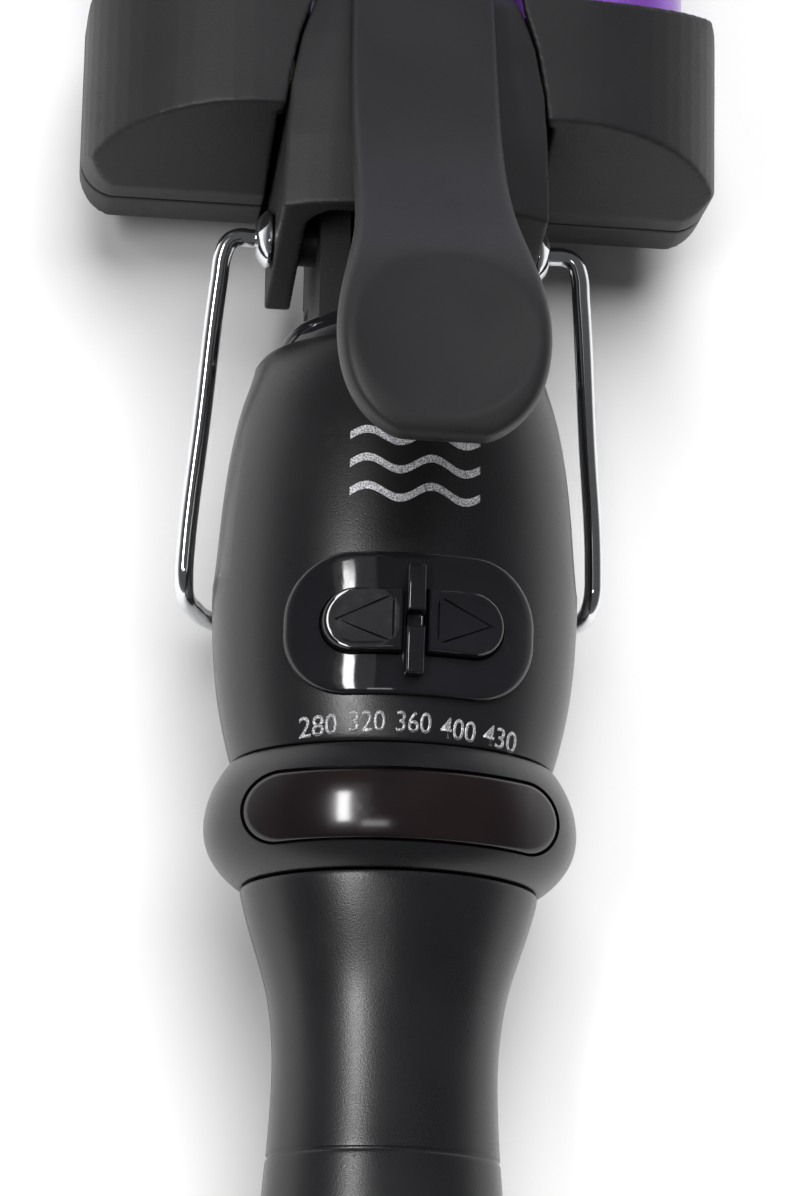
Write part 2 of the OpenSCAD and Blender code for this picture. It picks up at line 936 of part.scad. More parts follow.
module thumb_lever() {
    color("#2c2c2e")
        difference() {
            skin([
                for (s = through(lever_stations, 2))
                    [for (p = oblong(s[2], s[3], 2.8, 28)) [p[0], hinge_y + s[0], s[1] + p[1]]]
            ]);
            hood_solid(0, hood_stations);
            for (y = lever_screw_y)
                translate([0, y, 0]) cylinder(r = screw_r, h = hood_room + 9.3);
        }
}

module lever_screws() {
    color("silver")
        for (y = lever_screw_y)
            translate([0, y, 0]) {
                translate([0, 0, hood_room]) cylinder(r = screw_r, h = 9.3);
                translate([0, 0, hood_room - 1.6]) cylinder(r = screw_head_r, h = 1.6);
            }
}

module barrel_holder_center() {
    color("tan")
        along_y()
            difference() {
                union() {
                    translate([0, 0, hood_front - 8]) cylinder(r = 11.5, h = 8);
                    translate([0, 0, hood_front]) cylinder(r = barrel_bore, h = 6);
                }
                translate([0, 0, hood_front - 9]) cylinder(r = holder_bore, h = 20);
            }
}

module barrel_center() {
    barrel(hood_front);
}

module heater_center() {
    heater(hood_front + 8);
}

module spreader_center() {
    spreader(hood_front + 8);
}

module tip_cap_center() {
    tip_cap();
}

// Coil round the hinge tube, with one leg to the neck's floor and one to the hood
module torsion_spring() {
    turns = 5.25;
    coil_r = 5.2;
    spring_r = 0.7;
    coil_half = 6.6;
    coil = [
        for (i = [0 : 14 * turns])
            let (a = 360 * i / 14)
                [-coil_half + 2 * coil_half * i / (14 * turns), coil_r * cos(a), -coil_r * sin(a)],
    ];
    end = coil[len(coil) - 1];
    route = concat([[-coil_half, coil_r, 5], [-coil_half, coil_r, 2.5]], coil, [end + [0, 2.5, 0], end + [0, 5, 0]]);
    color("silver") translate([0, hinge_y, 0]) swept_wire(route, spring_r, [1, 0, 0], 6);
}

grip_shell_top();
grip_shell_bottom();
rear_cap();
cord_swivel();
slip_contacts();
collar_ring();
display_lens();
body_shell_top();
body_shell_bottom();
case_screws();
control_panel();
button_down();
button_up();
circuit_board();
tact_switches();
indicator_leds();
triac();
filter_capacitor();
front_cap();
neck();
base_bracket();
neck_screws();
hinge_tube();
hinge_cap_left();
hinge_cap_right();
stand_wire();
base_cover_left();
base_cover_right();
base_cover_bottom();
base_screws();
barrel_holder_left();
barrel_holder_right();
barrel_left();
barrel_right();
heater_left();
heater_right();
spreader_left();
spreader_right();
tip_cap_left();
tip_cap_right();
temperature_sensor();
thermal_fuse();
clamp_hood();
thumb_lever();
lever_screws();
barrel_holder_center();
barrel_center();
heater_center();
spreader_center();
tip_cap_center();
torsion_spring();
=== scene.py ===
import math

import bmesh
import bpy
from mathutils import Matrix, Vector


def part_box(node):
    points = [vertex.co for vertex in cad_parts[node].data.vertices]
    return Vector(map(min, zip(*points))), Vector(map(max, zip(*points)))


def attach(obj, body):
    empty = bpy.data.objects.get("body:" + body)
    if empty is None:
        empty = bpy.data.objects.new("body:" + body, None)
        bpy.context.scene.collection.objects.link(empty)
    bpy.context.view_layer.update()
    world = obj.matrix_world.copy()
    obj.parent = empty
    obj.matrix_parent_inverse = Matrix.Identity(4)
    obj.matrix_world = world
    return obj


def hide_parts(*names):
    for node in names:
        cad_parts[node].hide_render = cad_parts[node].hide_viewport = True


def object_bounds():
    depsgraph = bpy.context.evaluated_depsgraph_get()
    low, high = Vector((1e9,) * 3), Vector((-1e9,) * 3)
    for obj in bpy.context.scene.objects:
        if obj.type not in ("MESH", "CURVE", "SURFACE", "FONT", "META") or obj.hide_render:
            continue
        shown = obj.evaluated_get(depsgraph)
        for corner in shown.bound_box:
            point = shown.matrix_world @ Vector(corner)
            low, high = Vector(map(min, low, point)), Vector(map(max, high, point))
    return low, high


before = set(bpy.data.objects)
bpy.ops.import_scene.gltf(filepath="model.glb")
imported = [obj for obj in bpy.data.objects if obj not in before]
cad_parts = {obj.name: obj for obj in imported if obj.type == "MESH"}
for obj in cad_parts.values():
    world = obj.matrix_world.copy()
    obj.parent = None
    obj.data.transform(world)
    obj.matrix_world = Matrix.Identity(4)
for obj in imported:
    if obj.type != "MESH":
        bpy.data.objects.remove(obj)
cad_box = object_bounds()

# ---- Camera
# A long lens high over the rear of the handle, turned a little so that the body stands upright.
view_target = Vector((0.00007, 0.15925, 0))
view_back = Vector((-0.11457, -0.25952, 0.95892))
view_up = Vector((-0.05226, 0.96551, 0.25506))
view_right = view_up.cross(view_back)
view_distance = 0.609
bpy.ops.object.camera_add()
camera = bpy.context.object
camera.matrix_world = Matrix.Translation(view_target + view_back * view_distance) @ Matrix(
    (view_right, view_up, view_back)).transposed().to_4x4()
camera.data.lens = 133.9
camera.data.sensor_width = 36
camera.data.clip_start = 0.01
bpy.context.scene.camera = camera


# ---- Grip, two half shells
# Moulded in satin black plastic with a fine spark grain, split along the handle's sides and held
# by two screws from below. A thin groove runs round the grip near its rear.
class Tone:
    """One socket of a material's nodes. Sums and products of tones add Math nodes."""

    def __init__(self, tree, socket):
        self.tree = tree
        self.socket = socket

    def node(self, kind, settings, inputs, output=0):
        made = self.tree.nodes.new(kind)
        for key, value in settings.items():
            setattr(made, key, value)
        for key, value in inputs.items():
            if isinstance(value, Tone):
                self.tree.links.new(value.socket, made.inputs[key])
            else:
                made.inputs[key].default_value = value
        return Tone(self.tree, made.outputs[output])

    def math(self, operation, first, second):
        return self.node("ShaderNodeMath", {"operation": operation}, {0: first, 1: second})

    def __add__(self, other):
        return self.math("ADD", self, other)

    def __radd__(self, other):
        return self.math("ADD", other, self)

    def __sub__(self, other):
        return self.math("SUBTRACT", self, other)

    def __rsub__(self, other):
        return self.math("SUBTRACT", other, self)

    def __mul__(self, other):
        return self.math("MULTIPLY", self, other)

    def __rmul__(self, other):
        return self.math("MULTIPLY", other, self)


def finish_named(name, **constants):
    """Material with one Principled shader; returns it, the shader and the object coordinates."""
    made = bpy.data.materials.new(name)
    made.use_nodes = True
    shader = made.node_tree.nodes["Principled BSDF"]
    for key, value in constants.items():
        shader.inputs[key.replace("_", " ")].default_value = value
    place = made.node_tree.nodes.new("ShaderNodeTexCoord")
    return made, shader, Tone(made.node_tree, place.outputs["Object"])


def grain(place, size, detail=2.0, rough=0.5):
    """Noise with features of this size in metres."""
    return place.node("ShaderNodeTexNoise", {}, {
        "Vector": place, "Scale": 1 / size, "Detail": detail, "Roughness": rough})


def between(factor, dark, light):
    """Colour between two colours by a factor from 0 to 1."""
    return factor.node("ShaderNodeMix", {"data_type": "RGBA"}, {
        0: factor, 6: (*dark, 1), 7: (*light, 1)}, 2)


def stepped(value, low, high):
    """0 below low, 1 above high, and even in between."""
    return value.node("ShaderNodeMapRange", {}, {
        "Value": value, "From Min": low, "From Max": high})


def dress(shader, place, colour, roughness, height=None, depth=0.0001, strength=0.3):
    """Plugs the varying colour, roughness and relief into the shader."""
    place.tree.links.new(colour.socket, shader.inputs["Base Color"])
    place.tree.links.new(roughness.socket, shader.inputs["Roughness"])
    if height is not None:
        bump = place.node("ShaderNodeBump", {}, {
            "Height": height, "Distance": depth, "Strength": strength})
        place.tree.links.new(bump.socket, shader.inputs["Normal"])


def moulded(name, dark, light, rough, grain_size, strength, wear=0.04, **constants):
    """Moulded plastic: spark grain, cloudy sheen, rubbed places and a few dust specks."""
    made, shader, place = finish_named(name, **constants)
    fine = grain(place, grain_size)
    cloud = grain(place, 0.011, 3.0)
    rub = stepped(grain(place, 0.004, 5.0, 0.65), 0.58, 0.72)
    speck = stepped(grain(place, 0.0011, 1.0), 0.79, 0.82)
    colour = between(cloud * 0.7 + fine * 0.3 + speck * 0.8, dark, light)
    roughness = (cloud - 0.5) * 0.12 + rough + rub * wear + speck * 0.15 + (fine - 0.5) * 0.1
    dress(shader, place, colour, roughness, fine, 0.00006, strength)
    return made


satin_black = moulded("satin_black_plastic", (0.0035, 0.0035, 0.0042), (0.0085, 0.0085, 0.0095),
                      0.3, 0.00022, 0.34)
gloss_black = moulded("gloss_black_plastic", (0.0045, 0.0045, 0.0055), (0.009, 0.009, 0.011),
                      0.07, 0.0016, 0.03, 0.03)


def paint(piece, finish):
    piece.data.materials.clear()
    piece.data.materials.append(finish)


def settled(piece):
    """Puts a primitive's place, turn and size into its mesh."""
    bpy.ops.object.select_all(action="DESELECT")
    piece.select_set(True)
    bpy.context.view_layer.objects.active = piece
    bpy.ops.object.transform_apply(location=True, rotation=True, scale=True)


def open_up(piece):
    """Edit mode on this piece alone, with nothing selected."""
    bpy.ops.object.select_all(action="DESELECT")
    piece.select_set(True)
    bpy.context.view_layer.objects.active = piece
    bpy.ops.object.mode_set(mode="EDIT")
    bpy.ops.mesh.select_all(action="DESELECT")


def close_up(piece, angle=35):
    """Back to object mode, doubles merged, faces outwards, shaded smooth between sharp edges."""
    bpy.ops.mesh.select_all(action="SELECT")
    bpy.ops.mesh.remove_doubles(threshold=0.000004)
    bpy.ops.mesh.normals_make_consistent(inside=False)
    bpy.ops.object.mode_set(mode="OBJECT")
    bpy.ops.object.shade_smooth_by_angle(angle=math.radians(angle))


def pick(piece, kind, test):
    """Selects the verts, edges or faces whose middle passes the test, and nothing else."""
    bpy.ops.mesh.select_mode(type=kind.upper())
    bpy.ops.mesh.select_all(action="DESELECT")
    shape = bmesh.from_edit_mesh(piece.data)
    for part in {"VERT": shape.verts, "EDGE": shape.edges, "FACE": shape.faces}[kind.upper()]:
        if kind == "vert":
            middle = part.co
        elif kind == "edge":
            middle = (part.verts[0].co + part.verts[1].co) / 2
        else:
            middle = part.calc_center_median()
        part.select_set(bool(test(middle)))
    if kind == "vert":
        shape.select_flush(True)
    bmesh.update_edit_mesh(piece.data)


def modified(piece, kind, **settings):
    """Adds a modifier with these settings and applies it."""
    bpy.ops.object.select_all(action="DESELECT")
    piece.select_set(True)
    bpy.context.view_layer.objects.active = piece
    modifier = piece.modifiers.new(kind.lower(), kind)
    for key, value in settings.items():
        setattr(modifier, key, value)
    bpy.ops.object.modifier_apply(modifier=modifier.name)


def rounder(piece, levels):
    modified(piece, "SUBSURF", levels=levels, render_levels=levels)


def cut_out(piece, cutter, operation="DIFFERENCE"):
    """Cuts with another piece, which is then thrown away."""
    modified(piece, "BOOLEAN", operation=operation, object=cutter, solver="EXACT")
    bpy.data.objects.remove(cutter)


handle_oval = 0.86


def drawn_out(name, stations, oval=handle_oval, sides=48, middle=(0, 0), filled=False):
    """A ring round a line along Y, extruded and resized from station to station [y, half width]."""
    x, z = middle
    bpy.ops.object.select_all(action="DESELECT")
    bpy.ops.mesh.primitive_circle_add(
        vertices=sides, radius=stations[0][1], location=(x, stations[0][0], z),
        rotation=(math.radians(90), 0, 0), fill_type="TRIFAN" if filled else "NOTHING")
    piece = bpy.context.object
    piece.name = piece.data.name = name
    settled(piece)
    bpy.ops.object.mode_set(mode="EDIT")
    bpy.ops.mesh.select_all(action="SELECT")
    bpy.ops.transform.resize(value=(1, 1, oval), center_override=(x, stations[0][0], z))
    for (y, half), (next_y, next_half) in zip(stations, stations[1:]):
        bpy.ops.mesh.extrude_region_move(TRANSFORM_OT_translate={"value": (0, next_y - y, 0)})
        share = next_half / half
        bpy.ops.transform.resize(value=(share, 1, share), center_override=(x, next_y, z))
    return piece


seam_gap = 0.00012


def both_shells(piece, names):
    """Splits a closed shell along its sides into an upper and a lower half."""
    halves = []
    for name, side in zip(names, (1, -1)):
        half = piece.copy()
        half.data = piece.data.copy()
        half.name = half.data.name = name
        bpy.context.collection.objects.link(half)
        open_up(half)
        bpy.ops.mesh.select_all(action="SELECT")
        bpy.ops.mesh.bisect(plane_co=(0, 0, side * seam_gap), plane_no=(0, 0, side),
                            clear_inner=True, use_fill=True)
        close_up(half, 30)
        halves.append(half)
    bpy.data.objects.remove(piece)
    return halves


grip_outside = [
    (0.0091, 0.0163), (0.0094, 0.0166), (0.016, 0.0176), (0.027, 0.0178), (0.038, 0.0178),
    (0.049, 0.01755), (0.06, 0.0172), (0.070, 0.01665), (0.078, 0.016), (0.0812, 0.01574),
    (0.0816, 0.0157), (0.0817, 0.01545), (0.0821, 0.01545), (0.0822, 0.01565), (0.0826, 0.01562),
    (0.087, 0.0153), (0.091, 0.01515), (0.095, 0.0151), (0.0995, 0.01545), (0.1035, 0.016),
    (0.108, 0.0173), (0.113, 0.019), (0.1172, 0.0201), (0.118, 0.0202),
]
grip_inside = [(0.118, 0.018), (0.108, 0.0151), (0.095, 0.0129), (0.078, 0.0138),
               (0.05, 0.0153), (0.0091, 0.0144), (0.0091, 0.0163)]
grip = drawn_out("grip", grip_outside + grip_inside)
close_up(grip)
rounder(grip, 2)
grip_top, grip_bottom = both_shells(grip, ("grip_upper", "grip_lower"))
for piece, node in ((grip_top, "grip_shell_top"), (grip_bottom, "grip_shell_bottom")):
    paint(piece, satin_black)
    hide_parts(node)
    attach(piece, "handle")

# ---- Collar
# A bulging ring of the same black plastic, slid over the joint of grip and body. A long oval
# window is let into its top, a hair below the surface.
collar_outside = [
    (0.1181, 0.0201), (0.1183, 0.0205), (0.1194, 0.022), (0.1213, 0.0238), (0.1236, 0.025),
    (0.1262, 0.0254), (0.1293, 0.025), (0.132, 0.0239), (0.134, 0.0226), (0.1345, 0.0222),
    (0.13468, 0.0218),
]
collar_inside = [(0.13468, 0.0192), (0.127, 0.0192), (0.1181, 0.0184), (0.1181, 0.0201)]
collar = drawn_out("collar", collar_outside + collar_inside, sides=64)
close_up(collar)
rounder(collar, 2)


def flat_ring(name, radius, segments=64):
    """Ring in edit mode, turned by half a step so that no corner lies on an axis."""
    bpy.ops.object.select_all(action="DESELECT")
    bpy.ops.mesh.primitive_circle_add(vertices=segments, radius=radius, fill_type="NOTHING")
    piece = bpy.context.object
    piece.name = piece.data.name = name
    bpy.ops.object.mode_set(mode="EDIT")
    bpy.ops.mesh.select_all(action="SELECT")
    bpy.ops.transform.rotate(value=-math.pi / segments, orient_axis="Z", center_override=(0, 0, 0))
    return piece


def stretched_ring(name, size, radius, segments=64):
    """Flat ring with round corners, size across and along, ready for more edit steps."""
    piece = flat_ring(name, radius, segments)
    for axis in (0, 1):
        out = size[axis] / 2 - radius
        if out > 0.00002:
            for side in (-1, 1):
                pick(piece, "vert", lambda p: p[axis] * side > 0)
                bpy.ops.transform.translate(value=[side * out * (k == axis) for k in range(3)])
            pick(piece, "edge", lambda p: abs(p[axis]) < 0.00001)
            bpy.ops.mesh.subdivide(number_cuts=2 * max(1, round(out / 0.0012)) - 1)
    bpy.ops.mesh.select_mode(type="VERT")
    bpy.ops.mesh.select_all(action="SELECT")
    return piece


def plated(piece, size, heights, centre):
    """Raises a ring through [height, inset] steps, fills its top and moves it to its centre."""
    low = heights[0][0]
    bpy.ops.transform.translate(value=(0, 0, low))
    inset = 0
    for height, next_inset in heights[1:]:
        bpy.ops.mesh.extrude_region_move(TRANSFORM_OT_translate={"value": (0, 0, height - low)})
        share = [(side / 2 - next_inset) / (side / 2 - inset) for side in size]
        bpy.ops.transform.resize(value=(share[0], share[1], 1), center_override=(0, 0, height))
        low, inset = height, next_inset
    bpy.ops.mesh.fill_grid(use_interp_simple=True)
    pick(piece, "vert", lambda p: p.z < heights[0][0] + 0.000001)
    bpy.ops.mesh.fill_grid(use_interp_simple=True)
    bpy.ops.mesh.select_all(action="SELECT")
    bpy.ops.transform.translate(value=centre)
    close_up(piece, 40)


def draped(piece, over, lift=0.0):
    """Lets a flat piece down onto another, so that its height 0 lies on the surface below it."""
    for vertex in piece.data.vertices:
        hit, place, _, _ = over.ray_cast(Vector((vertex.co.x, vertex.co.y, 0.06)), Vector((0, 0, -1)))
        if hit:
            vertex.co.z += place.z + lift
    piece.data.update()


lens_size = (0.042, 0.0092)
lens_centre = (0, 0.126, 0)
window = stretched_ring("lens_window", lens_size, 0.0046)
plated(window, lens_size, [(-0.0011, 0), (-0.0005, 0), (-0.00032, 0.00005), (-0.0002, 0.0002),
                           (-0.00012, 0.0006)], lens_centre)
draped(window, collar)
seat_size = (0.0427, 0.0099)
seat = stretched_ring("lens_seat", seat_size, 0.00494)
plated(seat, seat_size, [(-0.0013, 0), (-0.0003, 0), (0.0004, 0), (0.002, 0)], lens_centre)
draped(seat, collar)
cut_out(collar, seat)
modified(collar, "WELD", merge_threshold=0.00001)
open_up(collar)
close_up(collar, 28)
paint(collar, satin_black)
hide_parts("collar_ring")
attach(collar, "handle")

# ---- Indicator window
# One strip of polished, smoke-red acrylic pressed into the collar. It is so dark that the lamps
# under it only lend it a deep red tinge.
smoke_red, shader, place = finish_named("smoke_red_lens", Coat_Weight=0.25,
                                        Coat_Roughness=0.1, IOR=1.49)
depth = stepped(grain(place, 0.013, 2.0), 0.3, 0.75)
scuff = stepped(grain(place, 0.0035, 6.0, 0.7), 0.6, 0.75)
dress(shader, place, between(depth, (0.0035, 0.0026, 0.0028), (0.0075, 0.0044, 0.0047)),
      0.17 + scuff * 0.08, grain(place, 0.009), 0.0002, 0.05)
paint(window, smoke_red)
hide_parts("display_lens")
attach(window, "handle")

# ---- Body, two half shells
# The widest part of the handle, moulded like the grip. Its sides are cut back a little where the
# wire stand folds against them, and its front rim is turned in round the domed cap.
body_outside = [
    (0.13478, 0.0217), (0.135, 0.02195), (0.1405, 0.0234), (0.1467, 0.0245), (0.1547, 0.02505),
    (0.1617, 0.0251), (0.1707, 0.0246), (0.1777, 0.0238), (0.1837, 0.0227), (0.1878, 0.0215),
    (0.1905, 0.0203), (0.1915, 0.0197), (0.1921, 0.0191), (0.19225, 0.0188),
]
body_inside = [(0.1921, 0.0181), (0.1915, 0.0178), (0.1878, 0.0193), (0.1777, 0.0216),
               (0.1617, 0.0229), (0.1467, 0.0223), (0.13478, 0.0197), (0.13478, 0.0217)]
body = drawn_out("body", body_outside + body_inside, sides=64)
close_up(body)
rounder(body, 2)
body_form = body.copy()
body_form.data = body.data.copy()
bpy.context.collection.objects.link(body_form)
recess = drawn_out("stand_recess", [
    (0.1578, 0.0256), (0.1583, 0.0252), (0.1625, 0.02465), (0.1707, 0.02415), (0.1777, 0.02335),
    (0.1837, 0.02225), (0.1878, 0.02105), (0.1935, 0.0187), (0.194, 0.03), (0.157, 0.03),
    (0.157, 0.0262), (0.1578, 0.0256)], sides=64)
close_up(recess)
rounder(recess, 1)
for top, out in ((0.0078, 1), (-0.0095, -1)):
    open_up(recess)
    bpy.ops.mesh.select_all(action="SELECT")
    bpy.ops.mesh.bisect(plane_co=(0, 0, top), plane_no=(0, 0, out), clear_outer=True, use_fill=True)
    close_up(recess)
cut_out(body, recess)
body_top, body_bottom = both_shells(body, ("body_upper", "body_lower"))
for piece, node in ((body_top, "body_shell_top"), (body_bottom, "body_shell_bottom")):
    paint(piece, satin_black)
    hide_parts(node)
    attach(piece, "handle")

# ---- Control panel
# A raised plate of polished black plastic, clipped into the body's top. A notched rib stands
# between the two keys so that they are told apart by touch.
panel_size = (0.0335, 0.019)
panel_y = 0.1501
panel_centre = (0, panel_y, 0)
panel = stretched_ring("panel", panel_size, 0.0085, 96)
plated(panel, panel_size, [(-0.0016, 0), (0.00075, 0), (0.00098, 0.00008), (0.00114, 0.00025),
                           (0.0012, 0.0005), (0.0012, 0.0012)], panel_centre)
key_reach = (0.0017, 0.0121)
key_half = 0.0042


def key_ring(name, side, grow):
    """D-shaped ring: round towards the outside, straight towards the rib."""
    piece = flat_ring(name, key_half + grow)
    centre = (key_reach[0] + key_reach[1]) / 2
    nose = key_reach[1] - key_half - centre
    pick(piece, "vert", lambda p: p.x * side > 0)
    bpy.ops.transform.translate(value=(side * nose, 0, 0))
    pick(piece, "vert", lambda p: p.x * side < 0)
    straight = side * (key_reach[0] - grow - centre)
    bpy.ops.transform.resize(value=(0, 1, 1), center_override=(straight, 0, 0))
    pick(piece, "edge", lambda p: abs(p.y) > (key_half + grow) * 0.97 and abs(p.x) < 0.004)
    bpy.ops.mesh.subdivide(number_cuts=5)
    bpy.ops.mesh.select_mode(type="VERT")
    bpy.ops.mesh.select_all(action="SELECT")
    return piece


def key_middle(side):
    return (side * (key_reach[0] + key_reach[1]) / 2, panel_y, 0)


key_size = (key_reach[1] - key_reach[0], 2 * key_half)
for side in (-1, 1):
    hole = key_ring("key_hole", side, 0.0003)
    plated(hole, key_size, [(-0.003, 0), (0, 0), (0.003, 0)], key_middle(side))
    cut_out(panel, hole)
draped(panel, body_form)
open_up(panel)
bpy.ops.mesh.select_all(action="SELECT")
bpy.ops.mesh.quads_convert_to_tris()
close_up(panel, 32)


def block_of(size, middle):
    """A plain block, to be shaped or to cut with."""
    bpy.ops.object.select_all(action="DESELECT")
    bpy.ops.mesh.primitive_cube_add(size=1, location=middle, scale=size)
    piece = bpy.context.object
    settled(piece)
    return piece


notch_half = 0.0011
notch_depth = 0.0022
rib = block_of((0.0024, 0.0146, 0.0042), (0, panel_y, 0.0013))
rib.name = rib.data.name = "panel_rib"
open_up(rib)
for side in (-1, 1):
    bpy.ops.mesh.select_all(action="SELECT")
    bpy.ops.mesh.bisect(plane_co=(0, panel_y + side * notch_half, 0), plane_no=(0, 1, 0))
pick(rib, "face", lambda p: p.z > 0.003 and abs(p.y - panel_y) < notch_half)
bpy.ops.mesh.extrude_region_move(TRANSFORM_OT_translate={"value": (0, 0, -notch_depth)})
close_up(rib)
modified(rib, "BEVEL", width=0.00035, segments=3, limit_method="ANGLE", angle_limit=math.radians(50))
draped(rib, body_form)
open_up(rib)
close_up(rib, 40)
bpy.ops.object.select_all(action="DESELECT")
rib.select_set(True)
panel.select_set(True)
bpy.context.view_layer.objects.active = panel
bpy.ops.object.join()
paint(panel, gloss_black)
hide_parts("control_panel")
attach(panel, "handle")

# ---- Keys
# Two D-shaped keys of the same polished plastic, each with an arrow cut into its dished top. They
# stand in the panel's openings and are pushed back by the switches under them.
for side, name, node in ((-1, "key_lower_heat", "button_down"), (1, "key_higher_heat", "button_up")):
    key = key_ring(name, side, 0)
    plated(key, key_size, [(-0.0012, 0), (0.0024, 0), (0.00272, 0.0001), (0.0029, 0.0003),
                           (0.00294, 0.00055), (0.0029, 0.001)], key_middle(side))
    x, y, _ = key_middle(side)
    for vertex in key.data.vertices:
        if vertex.co.z > 0.00285:
            near = 1 - ((vertex.co.x - x) / 0.0052) ** 2 - ((vertex.co.y - y) / key_half) ** 2
            vertex.co.z -= 0.0005 * max(near, 0)
    arrow_x = side * 0.00545
    bpy.ops.object.select_all(action="DESELECT")
    bpy.ops.mesh.primitive_torus_add(
        major_segments=3, minor_segments=8, major_radius=0.0036, minor_radius=0.00026,
        location=(arrow_x, y, 0.00262), rotation=(0, 0, 0 if side > 0 else math.pi))
    arrow = bpy.context.object
    arrow.scale = (1.36, 1.02, 1.0)
    settled(arrow)
    cut_out(key, arrow)
    draped(key, body_form)
    open_up(key)
    bpy.ops.mesh.select_all(action="SELECT")
    bpy.ops.mesh.quads_convert_to_tris()
    close_up(key, 32)
    paint(key, gloss_black)
    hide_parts(node)
    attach(key, "key_down" if side < 0 else "key_up")

# ---- Printed numbers and mark
# Pad-printed in a sparkling silver ink: the five temperatures over the lamps, and a plain mark of
# three waves on the body's front.
silver_ink, shader, place = finish_named("silver_ink", Metallic=0.75)
flake = grain(place, 0.00016, 1.0)
dress(shader, place, between(stepped(flake, 0.36, 0.66), (0.16, 0.16, 0.17), (0.86, 0.86, 0.88)),
      0.3 + flake * 0.3, flake, 0.00006, 0.7)
prints = []
for words, x, y, turn in (("280", -0.0118, 0.1367, 3), ("320", -0.0056, 0.1371, 1),
                          ("360", 0.0005, 0.1371, -1), ("400", 0.0066, 0.1366, -3.5),
                          ("430", 0.01255, 0.1363, -6)):
    bpy.ops.object.select_all(action="DESELECT")
    bpy.ops.object.text_add(location=(x, y, 0), rotation=(0, 0, math.radians(turn)))
    words_piece = bpy.context.object
    words_piece.data.body = words
    words_piece.data.align_x = "CENTER"
    words_piece.data.align_y = "CENTER"
    words_piece.data.size = 0.0038
    words_piece.data.offset = 0.00003
    words_piece.scale = (0.86, 1, 1)
    bpy.ops.object.convert(target="MESH")
    prints.append(bpy.context.object)
wave_length = 0.0175
wave_width = 0.0011
wave_height = 0.0009
for y in (0.1762, 0.1722, 0.1682):
    bpy.ops.object.select_all(action="DESELECT")
    bpy.ops.mesh.primitive_grid_add(x_subdivisions=60, y_subdivisions=2, size=wave_length,
                                    location=(0, y, 0))
    wave = bpy.context.object
    wave.scale = (1, wave_width / wave_length, 1)
    settled(wave)
    for vertex in wave.data.vertices:
        vertex.co.y += wave_height * math.sin(vertex.co.x / wave_length * 4 * math.pi)
    prints.append(wave)
for printed in prints:
    settled(printed)
    draped(printed, body_form, 0.00003)
    modified(printed, "SOLIDIFY", thickness=0.00004, offset=1)
bpy.ops.object.select_all(action="DESELECT")
for printed in prints:
    printed.select_set(True)
bpy.context.view_layer.objects.active = prints[0]
bpy.ops.object.join()
printing = bpy.context.object
printing.name = printing.data.name = "printed_numbers"
paint(printing, silver_ink)
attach(printing, "handle")
bpy.data.objects.remove(body_form)

# ---- Front cap and neck
# The cap closes the body's front rim with a polished dome. The neck passes through it and carries
# the hinge and the base; it is one heavy moulding of matte charcoal plastic.
cap = drawn_out("front_dome", [
    (0.1885, 0.0165), (0.1905, 0.0172), (0.1922, 0.0174), (0.1938, 0.01715), (0.1952, 0.0164),
    (0.1965, 0.0152), (0.1976, 0.0136), (0.1982, 0.0116), (0.1984, 0.008), (0.1985, 0.003)],
    filled=True)
close_up(cap)
rounder(cap, 1)
paint(cap, gloss_black)
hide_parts("front_cap")
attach(cap, "handle")
charcoal = moulded("matte_charcoal_plastic", (0.0068, 0.0068, 0.0075), (0.0115, 0.0115, 0.0125),
                   0.5, 0.0003, 0.5, 0.06, Specular_IOR_Level=0.38)
paint(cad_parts["neck"], charcoal)

# ---- Base
# Two upper covers, one on each side of the clamp's channel, screwed to a lower cover from below.
# All are matte charcoal mouldings with broad rounded shoulders and a parting line low on the sides.
base_low, base_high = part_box("base_cover_right")
rear, front = base_low.y, base_high.y
bottom, top, half_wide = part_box("base_cover_bottom")[0].z, base_high.z, base_high.x
seam = -0.0095
shoulder_low = -0.005
shoulder_h = top - shoulder_low
shoulder_w = 0.025
rear_slope = 0.0066
front_slope = 0.0052
middle_y = (rear + front) / 2
squeeze = shoulder_h / shoulder_w
block = block_of((2 * half_wide * squeeze, front - rear, top - bottom),
                 (0, middle_y, (top + bottom) / 2))
open_up(block)
pick(block, "edge", lambda p: p.z > top - 0.0001 and abs(p.x) > 0.02)
bpy.ops.mesh.bevel(offset=shoulder_h, segments=14, profile=0.5, affect="EDGES")
pick(block, "edge", lambda p: p.z < bottom + 0.0001 and abs(p.x) > 0.02)
bpy.ops.mesh.bevel(offset=0.0045, segments=8, profile=0.5, affect="EDGES")
bpy.ops.mesh.select_all(action="SELECT")
bpy.ops.transform.resize(value=(1 / squeeze, 1, 1), center_override=(0, 0, 0))
bpy.ops.mesh.bisect(plane_co=(0, 0, shoulder_low), plane_no=(0, 0, 1))
close_up(block)
for corner in block.data.vertices:
    rise = max(corner.co.z - shoulder_low, 0) / shoulder_h
    corner.co.y += rise * (rear_slope if corner.co.y < middle_y else -front_slope)
plan = block_of((2 * half_wide + 0.0002, front - rear + 0.0002, 0.08), (0, middle_y, 0))
open_up(plan)
pick(plan, "edge", lambda p: abs(p.z) < 0.0001)
bpy.ops.mesh.bevel(offset=0.0055, segments=10, profile=0.5, affect="EDGES")
close_up(plan)
cut_out(block, plan, "INTERSECT")


def melted(piece, voxel, passes, angle=60):
    """Remeshes a piece evenly and smooths it, so that every edge gets a small moulded radius."""
    modified(piece, "REMESH", mode="VOXEL", voxel_size=voxel, use_smooth_shade=True)
    modified(piece, "SMOOTH", factor=0.5, iterations=passes)
    open_up(piece)
    close_up(piece, angle)


